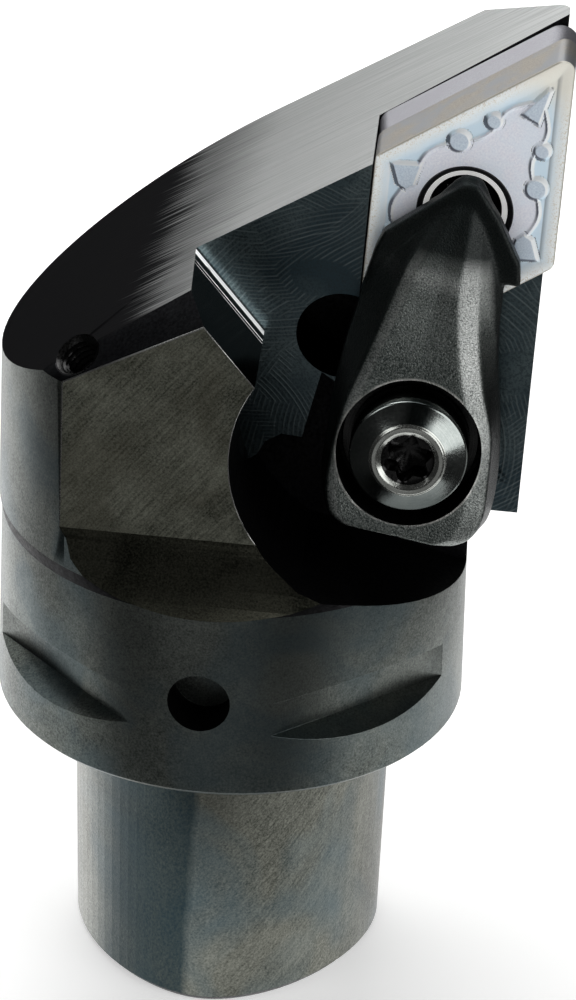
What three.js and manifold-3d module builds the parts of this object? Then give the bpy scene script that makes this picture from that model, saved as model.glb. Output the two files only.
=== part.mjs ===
// Left-hand external turning head on a polygon taper shank, for 55 degree double-sided inserts.
// Millimetres. +Z runs up the tool axis from the flange contact face, the rake side faces -Y and
// the cutting corner points to +X.
import * as THREE from 'three';
import { mergeVertices } from 'three/addons/utils/BufferGeometryUtils.js';
import Module from 'manifold-3d';

const wasm = await Module();
wasm.setup();

// ---------- driving dimensions ----------
const TOOL_WIDTH = 22;            // axis to the cutting corner, along X
const TOOL_LENGTH = 50;           // contact face to the cutting corner, along Z
const LEAD = 3;                   // degrees between the side cutting edge and the tool axis
const RAKE_SIDE = 0.080;          // slope of the rake face along X
const RAKE_BACK = 0.111;          // slope of the rake face along Z
const STACK_GAP = 0.2;            // clearance drawn between stacked pieces
const SEAT_GAP = 0.12;            // clearance between the insert and the walls of its seat

const FLANGE = { radius: 16, height: 14, headRadius: 16.2, bandHeight: 1, edge: 0.3 };
const SHANK = { meanRadius: 11, eccentricity: 0.7, length: 19.6, taper: 0.025, chamfer: 0.5 };
const BORE = { radius: 7, grooveRadius: 7.7, depth: 15, threadRadius: 5.1, threadDepth: 24, chamfer: 0.8 };
const SLOT = { floorRadius: 14.24, z: 6, floorHalf: 1.23, flank: 30, reach: 18, length: 30 };
const CODE_HOLE = { radius: 2.15, z: 7.2, depth: 3.4 };

const TOP = { slopeX: 0.645, slopeY: -0.02, z: 36.42 };         // plane beside the front edge
const LEDGE = { slopeX: 0.544, slopeY: 0.55, z: 41.51 };        // bevel that holds the plug hole
const SIDE = { x: 19.64, y: -2.2, z: 16.49, leanY: 0.08, leanZ: 0.0553 };
const ARM = { back: 16.2, bend: 14, bottom: 16.5, right: 21.7, corner: 4, cornerX: 16.75, cornerY: 7.8 };
// Flat beside the pocket and the run-out below it, as [height, set forward] pairs.
const FRONT = { y: -12.5, shelf: [[17.9, 0], [17.3, 0.45], [15.9, 0.7], [15, 1.35], [14.2, 2.4], [12.9, 5]] };
const FLOOR_Y = -2.2;             // wide milled floor of the pocket
const PAD_LEVEL = -1.5;           // clamp landing, measured along the rake normal
const WELL_LEVEL = -6;            // deep clearance beside the clamp
const PLUG_HOLE = { x: -9.56, y: -10.83, radius: 1.35, mouth: 1.7, depth: 6 };

const INSERT = { inradius: 6.35, corner: 55, nose: 0.8, thick: 4.66, hole: 2.58, mouth: 3.2 };
// Chip groove from flank to seating face: [set back from the edge, depth below the seating face].
const CHIP_GROOVE = [[0, 0.2], [0.1, 0.06], [0.35, 0.06], [0.8, 0.18], [1.3, 0]];
const SHIM = { inradius: 6.4, lean: 0.2, nose: 1.2, thick: 2.95, hole: 2.6, sink: 3.6, edge: 0.1 };
const SHIM_SCREW = { head: 3.3, headTall: 1.5, shank: 1.9, length: 7, hole: 13.4 };
const CLAMP_AXIS = { x: -14.73, y: -5.41, turn: 20.2 };         // screw axis beside the insert centre
const CLAMP_SCREW = { head: 4, headBase: 3.1, edge: 6.1, crown: 6.9, rim: 2.45, shank: 2.4, tip: -15 };
const WASHER = { inner: 2.75, outer: 4.6, base: 2.55, thick: 0.35 };
const RING = { inner: 2.45, wire: 0.3, level: -2.1 };
const SPRING = { radius: 3.8, wire: 0.35, low: -5.35, high: -1.75, turns: 3.5 };
const LOBE_KEY = { mean: 1.44, wave: 0.235, depth: 2.2 };
const REACH = 60;                 // longer than any cut has to be

// ---------- small helpers ----------
const rad = degrees => THREE.MathUtils.degToRad(degrees);
const v2 = (x, y) => new THREE.Vector2(x, y);
const v3 = (x, y, z) => new THREE.Vector3(x, y, z);
const UP = v3(0, 0, 1);

// Closed geometry to solid: shared corners merged, collapsed triangles at the poles dropped.
function solid(geometry) {
  const bare = geometry.clone();
  for (const name of ['normal', 'uv']) bare.deleteAttribute(name);
  const merged = mergeVertices(bare, 1e-5);
  const index = Array.from(merged.index.array);
  const kept = [];
  for (let i = 0; i < index.length; i += 3) {
    const [a, b, c] = index.slice(i, i + 3);
    if (a !== b && b !== c && c !== a) kept.push(a, b, c);
  }
  return new wasm.Manifold(new wasm.Mesh({
    numProp: 3,
    vertProperties: new Float32Array(merged.attributes.position.array),
    triVerts: new Uint32Array(kept),
  }));
}

function geometryOf(manifold) {
  const mesh = manifold.getMesh();
  const geometry = new THREE.BufferGeometry();
  geometry.setAttribute('position', new THREE.BufferAttribute(mesh.vertProperties, 3));
  geometry.setIndex(new THREE.BufferAttribute(mesh.triVerts, 1));
  geometry.computeVertexNormals();
  return geometry;
}

const join = pieces => pieces.reduce((sum, piece) => sum.add(piece));
const cut = (base, cutters) => cutters.reduce((rest, cutter) => rest.subtract(cutter), base);

// Solid of revolution about +Z from [radius, height] pairs listed upward.
function turned(profile, segments = 48) {
  return new THREE.LatheGeometry(profile.map(([r, z]) => v2(r, z)), segments).rotateX(Math.PI / 2);
}

const rod = (radius, low, high, segments = 32) =>
  turned([[0, low], [radius, low], [radius, high], [0, high]], segments);

function extruded(shape, low, high, curveSegments = 6) {
  const settings = { depth: high - low, bevelEnabled: false, curveSegments };
  const geometry = new THREE.ExtrudeGeometry(shape, settings);
  return geometry.translate(0, 0, low);
}

const prism = (points, low, high) => extruded(new THREE.Shape(points.map(p => v2(...p))), low, high);

// Everything on the outer side of a plane.
function beyond(point, normal) {
  const block = new THREE.BoxGeometry(2 * REACH, 2 * REACH, REACH).translate(0, 0, REACH / 2);
  block.applyQuaternion(new THREE.Quaternion().setFromUnitVectors(UP, normal.clone().normalize()));
  return solid(block.translate(...point));
}

// Skin through equal rings of points, closed by a fan at each end.
function lofted(rings) {
  const count = rings[0].length;
  const index = [];
  for (let r = 0; r + 1 < rings.length; r++) {
    for (let i = 0; i < count; i++) {
      const j = (i + 1) % count;
      const [a, b, c, d] = [r * count + i, r * count + j, (r + 1) * count + j, (r + 1) * count + i];
      index.push(a, b, c, a, c, d);
    }
  }
  const last = (rings.length - 1) * count;
  for (let i = 1; i + 1 < count; i++) index.push(0, i + 1, i, last, last + i, last + i + 1);
  const geometry = new THREE.BufferGeometry();
  geometry.setAttribute('position', new THREE.Float32BufferAttribute(rings.flat(2), 3));
  geometry.setIndex(index);
  return geometry;
}

// ---------- frames on the rake face ----------
// The seat frame has its origin at the insert's centre on the rake face, X toward the cutting
// corner along the long diagonal and Z out of the rake face.
const rakeNormal = v3(RAKE_SIDE, -1, RAKE_BACK).normalize();
const rakeY = (x, z) => RAKE_SIDE * (x - TOOL_WIDTH) + RAKE_BACK * (z - TOOL_LENGTH);
const halfCorner = INSERT.corner / 2;
const diagonalLean = rad(LEAD + halfCorner);
const diagonal = v3(Math.sin(diagonalLean), 0, Math.cos(diagonalLean));
diagonal.y = RAKE_SIDE * diagonal.x + RAKE_BACK * diagonal.z;
diagonal.normalize();
const noseCentre = v3(TOOL_WIDTH - INSERT.nose, 0, TOOL_LENGTH - INSERT.nose);
noseCentre.y = rakeY(noseCentre.x, noseCentre.z);
const noseReach = (INSERT.inradius - INSERT.nose) / Math.sin(rad(halfCorner));
const insertCentre = noseCentre.clone().addScaledVector(diagonal, -noseReach);
const across = rakeNormal.clone().cross(diagonal);
const seatFrame = new THREE.Matrix4().makeBasis(diagonal, across, rakeNormal).setPosition(insertCentre);
const clampFrame = seatFrame.clone()
  .multiply(new THREE.Matrix4().makeTranslation(CLAMP_AXIS.x, CLAMP_AXIS.y, 0))
  .multiply(new THREE.Matrix4().makeRotationZ(rad(CLAMP_AXIS.turn)));

const inSeat = geometry => solid(geometry.applyMatrix4(seatFrame));
const inClamp = geometry => solid(geometry.applyMatrix4(clampFrame));

// A point of the part, given by x and z on a plane of constant y, seen along the rake normal.
function onSeat(x, z, y) {
  const p = v3(x, y, z).applyMatrix4(seatFrame.clone().invert());
  return [p.x, p.y];
}

function rhombus(inradius, nose) {
  const shape = new THREE.Shape();
  for (let k = 0; k < 4; k++) {
    const heading = k * Math.PI / 2;
    const half = rad(k % 2 ? 90 - halfCorner : halfCorner);
    const reach = (inradius - nose) / Math.sin(half);
    const sweep = Math.PI / 2 - half;
    const [x, y] = [reach * Math.cos(heading), reach * Math.sin(heading)];
    shape.absarc(x, y, nose, heading - sweep, heading + sweep);
  }
  return shape;
}

// Six-lobe key socket.
function lobeSocket(size, low, high) {
  const outline = Array.from({ length: 48 }, (_, i) => {
    const angle = i * Math.PI / 24;
    const r = size * (LOBE_KEY.mean + LOBE_KEY.wave * Math.cos(6 * angle));
    return [r * Math.cos(angle), r * Math.sin(angle)];
  });
  return prism(outline, low, high);
}

// ---------- holder ----------
// Three-lobed polygon taper with one lobe toward -Y.
function shank() {
  const { meanRadius, eccentricity, length, taper, chamfer } = SHANK;
  const end = meanRadius - taper * length;
  const profile = [[0, -length], [end - chamfer, -length], [end, chamfer - length], [meanRadius, 0],
    [meanRadius, 1], [0, 1]];
  const geometry = turned(profile, 96);
  const position = geometry.attributes.position;
  for (let i = 0; i < position.count; i++) {
    const scale = Math.hypot(position.getX(i), position.getY(i)) / meanRadius;
    const a = Math.atan2(position.getY(i), position.getX(i)) - Math.PI / 2;
    const radial = meanRadius - eccentricity * Math.cos(3 * a);
    const tangential = 3 * eccentricity * Math.sin(3 * a);
    const x = radial * Math.cos(a) - tangential * Math.sin(a);
    const y = radial * Math.sin(a) + tangential * Math.cos(a);
    position.setXY(i, -y * scale, x * scale);
  }
  return solid(geometry);
}

function shankBore() {
  const { radius, grooveRadius, depth, threadRadius, threadDepth, chamfer } = BORE;
  const end = -SHANK.length;
  return solid(turned([[0, end - 1], [radius + chamfer, end - 1], [radius + chamfer, end],
    [radius, end + chamfer], [radius, end + depth / 2], [grooveRadius, end + depth / 2 + 0.7],
    [grooveRadius, end + depth - 0.7], [radius, end + depth], [threadRadius, end + depth + 1],
    [threadRadius, end + threadDepth], [0, end + threadDepth + 3]], 64));
}

function gripperSlot(azimuth) {
  const { floorRadius, z, floorHalf, flank, reach, length } = SLOT;
  const rise = (reach - floorRadius) * Math.tan(rad(flank));
  const section = [[floorRadius, z - floorHalf], [reach, z - floorHalf - rise],
    [reach, z + floorHalf + rise], [floorRadius, z + floorHalf]];
  const bar = prism(section, -length / 2, length / 2).rotateX(Math.PI / 2).rotateZ(rad(azimuth));
  return solid(bar);
}

function headBlank() {
  const { radius, height, headRadius, bandHeight, edge } = FLANGE;
  const round = turned([[0, 0], [radius - edge, 0], [radius, edge], [radius, height],
    [headRadius, height + bandHeight], [headRadius, REACH], [0, REACH]], 96);
  const { back, bend, bottom, right, corner, cornerX, cornerY } = ARM;
  const plan = new THREE.Shape([v2(0, back), v2(0, FLOOR_Y), v2(right, FLOOR_Y)]);
  plan.absarc(cornerX, cornerY, corner, rad(5), rad(45));
  plan.lineTo(bend, back);
  return join([solid(round), solid(extruded(plan, bottom, REACH))]);
}

const plane = ({ slopeX, slopeY, z }) => beyond([0, 0, z], v3(-slopeX, -slopeY, 1));

function frontFlat() {
  const wall = FRONT.shelf.map(([z, out]) => [FRONT.y - out, z]);
  const section = [[FRONT.y, REACH], ...wall, [-REACH, wall.at(-1)[1]], [-REACH, REACH]];
  // The section lies in the plane of Y and Z and runs along X.
  return solid(prism(section, -REACH / 2, REACH / 2).rotateX(Math.PI / 2).rotateZ(Math.PI / 2));
}

// Outline of the open pocket on the front flat: an inclined wall, a large arc about the clamp
// and a bottom wall that falls to the right.
function pocketOutline() {
  const centre = [11.9, 24.2], radius = 10.8;
  const arc = Array.from({ length: 19 }, (_, i) => {
    const angle = rad(148 + i * 5);
    return [centre[0] + radius * Math.cos(angle), centre[1] + radius * Math.sin(angle)];
  });
  const foot = arc.at(-1);
  const fall = 0.28, right = 30;
  return [[-7, 41.68], ...arc, [right, foot[1] - fall * (right - foot[0])], [right, REACH], [-7, REACH]]
    .map(([x, z]) => onSeat(x, z, FRONT.y));
}

function seatCuts() {
  const pocket = inSeat(prism(pocketOutline(), WELL_LEVEL - 4, REACH));
  const inFrontOfFloor = pocket.subtract(beyond([0, FLOOR_Y, 0], v3(0, 1, 0)));
  const fromFloor = points => points.map(([x, z]) => onSeat(x, z, FLOOR_Y));
  const landing = inSeat(prism(fromFloor([[5.65, 26.3], [4.6, 20.7], [0, 20.7], [0, 5], [30, 5],
    [30, 45], [8.2, 27.5]]), PAD_LEVEL, REACH)).intersect(pocket);
  const well = inSeat(prism(fromFloor([[5.9, 26], [4.7, 20.8], [3.3, 20.9], [2.2, 20.2], [1.7, 19.2],
    [-2, 16], [-2, 5], [17.5, 5], [17.5, 18.2], [8.6, 19.6], [8.2, 24.4]]), WELL_LEVEL, REACH))
    .intersect(pocket);
  const relief = inSeat(rod(3.2, SEAT_LEVEL, REACH, 40).translate(...onSeat(7.3, 28.9, FLOOR_Y), 0))
    .intersect(pocket);
  const apex = -(INSERT.inradius + SEAT_GAP) / Math.sin(rad(halfCorner));
  const [run, spread] = [45 * Math.cos(rad(halfCorner)), 45 * Math.sin(rad(halfCorner))];
  const seat = inSeat(prism([[apex, 0], [apex + run, -spread], [apex + run, spread]], SEAT_LEVEL, REACH));
  return [inFrontOfFloor, landing, well, relief, seat];
}

const SHIM_TOP = -INSERT.thick - STACK_GAP;
const SEAT_LEVEL = SHIM_TOP - SHIM.thick - STACK_GAP;

function screwHoles() {
  const clampHole = turned([[0, CLAMP_SCREW.tip - 1.5], [CLAMP_SCREW.shank + 0.3, CLAMP_SCREW.tip - 0.5],
    [CLAMP_SCREW.shank + 0.3, SPRING.low - 0.65], [4.6, SPRING.low - 0.65], [4.6, 2], [0, 2]]);
  const shimHole = turned([[0, -SHIM_SCREW.hole], [SHIM_SCREW.shank + 0.3, 1 - SHIM_SCREW.hole],
    [SHIM_SCREW.shank + 0.3, -2], [0, -2]]);
  return [inClamp(clampHole), inSeat(shimHole)];
}

const ledgeNormal = v3(-LEDGE.slopeX, -LEDGE.slopeY, 1).normalize();
const plugFrame = new THREE.Matrix4().compose(
  v3(PLUG_HOLE.x, PLUG_HOLE.y, LEDGE.slopeX * PLUG_HOLE.x + LEDGE.slopeY * PLUG_HOLE.y + LEDGE.z),
  new THREE.Quaternion().setFromUnitVectors(UP, ledgeNormal), v3(1, 1, 1));

function plugHole() {
  const { radius, mouth, depth } = PLUG_HOLE;
  const profile = [[0, -depth - 0.7], [radius, -depth], [radius, radius - mouth],
    [mouth, 0], [mouth, 3], [0, 3]];
  return solid(turned(profile, 24).applyMatrix4(plugFrame));
}

function toolBody() {
  const blank = join([shank(), headBlank()]);
  const side = beyond([SIDE.x, SIDE.y, SIDE.z], v3(1, SIDE.leanY, -SIDE.leanZ));
  const codeHole = solid(rod(CODE_HOLE.radius, 0, 6).rotateX(Math.PI / 2)
    .translate(0, CODE_HOLE.depth - FLANGE.radius, CODE_HOLE.z));
  return cut(blank, [plane(TOP), plane(LEDGE), side, frontFlat(), ...seatCuts(), ...screwHoles(),
    ...[45, 135, 225, 315].map(gripperSlot), codeHole, plugHole(), shankBore()]);
}

// ---------- insert, shim and their screw ----------
// Plate lofted through rhombic rings, from [inset, level] pairs listed downward.
function plate(inradius, nose, profile) {
  const rings = profile.map(([inset, level]) => rhombus(inradius - inset, nose).getPoints(6).slice(1)
    .map(p => [p.x, p.y, level]));
  return inSeat(lofted(rings.reverse()));
}

function insert() {
  const { inradius, nose, thick, hole, mouth } = INSERT;
  const face = CHIP_GROOVE.map(([inset, drop]) => [inset, -drop]).reverse();
  const back = CHIP_GROOVE.map(([inset, drop]) => [inset, drop - thick]);
  const bore = turned([[0, -thick - 1], [mouth, -thick - 1], [mouth, -thick], [hole, 0.7 - thick],
    [hole, -0.7], [mouth, 0], [mouth, 1], [0, 1]], 40);
  return plate(inradius, nose, [...face, ...back]).subtract(inSeat(bore));
}

function shim() {
  const { inradius, lean, nose, thick, hole, sink, edge } = SHIM;
  const low = SHIM_TOP - thick;
  const flank = [[lean + edge, SHIM_TOP], [lean, SHIM_TOP - edge], [0, low + edge], [edge, low]];
  const bore = turned([[0, low - 1], [hole, low - 1], [hole, low + 1], [sink, SHIM_TOP - 0.5],
    [sink, SHIM_TOP + 1], [0, SHIM_TOP + 1]], 40);
  return plate(inradius, nose, flank).subtract(inSeat(bore));
}

function shimScrew() {
  const { head, headTall, shank: stem, length } = SHIM_SCREW;
  const top = SHIM_TOP - 0.35;
  const profile = [[0, top - length], [stem - 0.4, top - length], [stem, top - length + 0.4],
    [stem, top - headTall - 0.4], [head, top - 0.3], [head, top], [0, top]];
  return inSeat(turned(profile, 32)).subtract(inSeat(lobeSocket(0.85, top - 1.2, top + 1)));
}

// ---------- clamp set ----------
// Each station along the clamp: [position, left base, right base, left top, right top, level of the top].
const CLAMP_STATIONS = [
  [-5.8, 3.7, -5.0, 3.3, -4.2, 6.6], [-5.1, 4.9, -6.2, 4.4, -5.3, 6.5],
  [-3.5, 5.4, -6.5, 5.0, -5.9, 6.2], [-1, 5.6, -6.3, 5.2, -5.7, 5.7],
  [2, 5.8, -5.7, 5.1, -5.2, 5.15], [5, 5.8, -4.9, 4.5, -3.9, 4.55],
  [8, 5.6, -4.2, 3.9, -2.9, 4], [11, 5.2, -3.8, 3.3, -2.2, 3.4],
  [12.7, 4.2, -3.5, 2.9, -1.9, 3.05], [15.5, 2.7, -2.5, 1.6, -1.3, 2.1],
  [17.8, 1.3, -1.2, 0.85, -0.75, 1.3], [18.6, 0.6, -0.5, 0.45, -0.4, 1],
];

function clampBridge() {
  const rings = CLAMP_STATIONS.map(([x, leftBase, rightBase, leftTop, rightTop, top]) => {
    const waist = 0.3 + 0.35 * (top - 0.3);
    return [[x, leftBase, 0.3], [x, rightBase, 0.3], [x, rightBase, waist], [x, rightTop, top],
      [x, leftTop, top], [x, leftBase, waist]];
  });
  return inClamp(lofted(rings.map(ring => ring.reverse())));
}

function clamp() {
  const wings = prism([[11.6, 0], [11.9, -4.8], [13.5, -4.4], [16.3, -2.4], [18.3, -0.5], [18.3, 0.5],
    [15.9, 2.8], [13.6, 5.0], [12.4, 5.3], [9, 5.6]], 0.3, 1.6);
  const heel = prism([[-5.7, -5.0], [-4.9, -6.1], [-1, -6.2], [5, -4.8], [10.3, -3.7], [1.7, 4.4],
    [0.4, 5.5], [-3.4, 5.3], [-4.8, 4.8], [-5.5, 3.7]], PAD_LEVEL + STACK_GAP, 0.8);
  const peg = rod(1.4, -1.2, 1.2, 24).translate(14.9, 0, 0);
  const body = join([clampBridge(), inClamp(wings), inClamp(heel), inClamp(peg)]);
  const step = WASHER.base - 0.2;
  const bore = turned([[0, -4], [2.8, -4], [2.8, step], [4.9, step], [4.9, 12], [0, 12]]);
  return body.subtract(inClamp(bore));
}

function clampScrew() {
  const { head, headBase, edge, crown, rim, shank: stem, tip } = CLAMP_SCREW;
  const profile = [[0, tip], [stem - 0.5, tip], [stem, tip + 0.5], [stem, RING.level - 0.45],
    [stem - 0.35, RING.level - 0.45], [stem - 0.35, RING.level + 0.45], [stem, RING.level + 0.45],
    [stem, headBase], [head, headBase], [head, edge], [rim, crown], [0, crown]];
  return inClamp(turned(profile, 48)).subtract(inClamp(lobeSocket(1, crown - LOBE_KEY.depth, crown + 1)));
}

function clampWasher() {
  const { inner, outer, base, thick } = WASHER;
  return inClamp(turned([[inner, base], [outer, base], [outer, base + thick], [inner, base + thick],
    [inner, base]], 48));
}

// Open wire ring that keeps the screw in the clamp.
function retainingRing() {
  const middle = RING.inner + RING.wire;
  class Arc extends THREE.Curve {
    getPoint(t) {
      const angle = rad(20 + 320 * t);
      return v3(middle * Math.cos(angle), middle * Math.sin(angle), RING.level);
    }
  }
  const wire = new THREE.Shape().absarc(0, 0, RING.wire, 0, 2 * Math.PI);
  return inClamp(new THREE.ExtrudeGeometry(wire, { extrudePath: new Arc(), steps: 32, curveSegments: 4 }));
}

function clampSpring() {
  const { radius, wire, low, high, turns } = SPRING;
  class Helix extends THREE.Curve {
    getPoint(t) {
      const angle = 2 * Math.PI * turns * t;
      return v3(radius * Math.cos(angle), radius * Math.sin(angle), low + (high - low) * t);
    }
  }
  const section = new THREE.Shape().absarc(0, 0, wire, 0, 2 * Math.PI);
  const settings = { extrudePath: new Helix(), steps: 72, curveSegments: 4 };
  return inClamp(new THREE.ExtrudeGeometry(section, settings));
}

function coolantPlug() {
  const radius = PLUG_HOLE.radius - 0.2;
  const socket = new THREE.CylinderGeometry(0.65, 0.65, 2, 6).rotateX(Math.PI / 2).translate(0, 0, -2.1);
  const screw = turned([[0, -4.9], [radius - 0.3, -4.9], [radius, -4.6], [radius, -2.6], [radius - 0.25, -2.3],
    [0, -2.3]], 24);
  return solid(screw.applyMatrix4(plugFrame)).subtract(solid(socket.applyMatrix4(plugFrame)));
}

// ---------- scene ----------
const finish = (color, roughness, metalness = 1) =>
  new THREE.MeshStandardMaterial({ color, roughness, metalness });
const blackSteel = finish(0x33322f, 0.45);
const forgedSteel = finish(0x2f3331, 0.6);
const screwSteel = finish(0x3c4040, 0.3);
const springSteel = finish(0x8a8c8e, 0.35);

const pieces = {
  tool_body: [toolBody(), blackSteel],
  shim: [shim(), finish(0x8f9098, 0.45)],
  shim_screw: [shimScrew(), screwSteel],
  insert: [insert(), finish(0xa3adbf, 0.4)],
  clamp: [clamp(), forgedSteel],
  clamp_washer: [clampWasher(), screwSteel],
  clamp_screw: [clampScrew(), screwSteel],
  retaining_ring: [retainingRing(), springSteel],
  clamp_spring: [clampSpring(), springSteel],
  coolant_plug: [coolantPlug(), finish(0x9a9c9e, 0.3)],
};

const tool = new THREE.Group();
for (const [name, [shape, material]] of Object.entries(pieces)) {
  const mesh = new THREE.Mesh(geometryOf(shape), material);
  mesh.name = name;
  tool.add(mesh);
}

export default tool;
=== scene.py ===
import math

import bmesh
import bpy
import numpy as np
from mathutils import Matrix, Vector


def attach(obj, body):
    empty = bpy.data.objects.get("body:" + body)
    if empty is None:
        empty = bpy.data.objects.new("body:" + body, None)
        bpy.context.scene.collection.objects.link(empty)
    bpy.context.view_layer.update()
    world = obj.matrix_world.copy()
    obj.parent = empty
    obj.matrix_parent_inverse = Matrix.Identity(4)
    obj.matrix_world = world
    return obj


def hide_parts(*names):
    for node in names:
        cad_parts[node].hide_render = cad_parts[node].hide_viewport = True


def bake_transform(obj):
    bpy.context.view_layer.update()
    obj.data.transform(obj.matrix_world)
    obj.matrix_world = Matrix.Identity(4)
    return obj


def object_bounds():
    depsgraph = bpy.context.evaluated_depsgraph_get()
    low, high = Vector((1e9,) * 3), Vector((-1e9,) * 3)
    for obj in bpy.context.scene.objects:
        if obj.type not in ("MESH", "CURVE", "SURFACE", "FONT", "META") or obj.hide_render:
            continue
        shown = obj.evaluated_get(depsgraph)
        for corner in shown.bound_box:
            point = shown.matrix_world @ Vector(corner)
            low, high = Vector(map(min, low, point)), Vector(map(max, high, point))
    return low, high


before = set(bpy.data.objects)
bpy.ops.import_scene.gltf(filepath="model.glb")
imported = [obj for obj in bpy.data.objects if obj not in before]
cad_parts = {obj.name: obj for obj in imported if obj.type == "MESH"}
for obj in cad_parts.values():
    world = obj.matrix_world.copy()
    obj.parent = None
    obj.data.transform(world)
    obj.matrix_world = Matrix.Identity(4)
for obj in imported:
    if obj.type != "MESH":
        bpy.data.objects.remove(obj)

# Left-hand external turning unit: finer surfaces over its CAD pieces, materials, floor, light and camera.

CAD_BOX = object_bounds()
MM = 0.001
scene = bpy.context.scene

# ---------- frames of the part, in millimetres ----------
TOOL_WIDTH, TOOL_LENGTH, LEAD = 22.0, 50.0, 3.0  # axis to corner, contact face to corner, lead angle
RAKE_SIDE, RAKE_BACK = 0.080, 0.111              # slopes of the rake face along X and along Z
HALF_CORNER = math.radians(27.5)
INRADIUS, NOSE, THICK = 6.35, 0.8, 4.66          # the insert's inscribed circle, corner and thickness
CLAMP_X, CLAMP_Y, CLAMP_TURN = -14.73, -5.41, 20.2  # the clamp screw's place in the insert's frame
TOP_NORMAL = Vector((-0.645, 0.02, 1)).normalized()
LEDGE_SLOPE_X, LEDGE_SLOPE_Y, LEDGE_LEVEL = 0.544, 0.55, 41.51
LEDGE_NORMAL = Vector((-LEDGE_SLOPE_X, -LEDGE_SLOPE_Y, 1)).normalized()
PLUG_X, PLUG_Y = -9.56, -10.83
PLUG_POINT = Vector((PLUG_X, PLUG_Y, LEDGE_SLOPE_X * PLUG_X + LEDGE_SLOPE_Y * PLUG_Y + LEDGE_LEVEL))

RAKE = Vector((RAKE_SIDE, -1, RAKE_BACK)).normalized()
lean = math.radians(LEAD) + HALF_CORNER
diagonal = Vector((math.sin(lean), 0, math.cos(lean)))
diagonal.y = RAKE_SIDE * diagonal.x + RAKE_BACK * diagonal.z
diagonal.normalize()
nose_centre = Vector((TOOL_WIDTH - NOSE, 0, TOOL_LENGTH - NOSE))
nose_centre.y = -RAKE_SIDE * NOSE - RAKE_BACK * NOSE
INSERT_CENTRE = nose_centre - diagonal * ((INRADIUS - NOSE) / math.sin(HALF_CORNER))


def basis(x_axis, z_axis, origin):
    """Frame in metres with the given X and Z axes and an origin in millimetres."""
    y_axis = z_axis.cross(x_axis)
    matrix = Matrix((x_axis, y_axis, z_axis)).transposed().to_4x4()
    matrix.translation = origin * MM
    return matrix


SEAT = basis(diagonal, RAKE, INSERT_CENTRE)
CLAMP = (SEAT @ Matrix.Translation((CLAMP_X * MM, CLAMP_Y * MM, 0))
         @ Matrix.Rotation(math.radians(CLAMP_TURN), 4, "Z"))
PLUG = Matrix.Translation(PLUG_POINT * MM) @ LEDGE_NORMAL.to_track_quat("Z", "Y").to_matrix().to_4x4()


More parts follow.
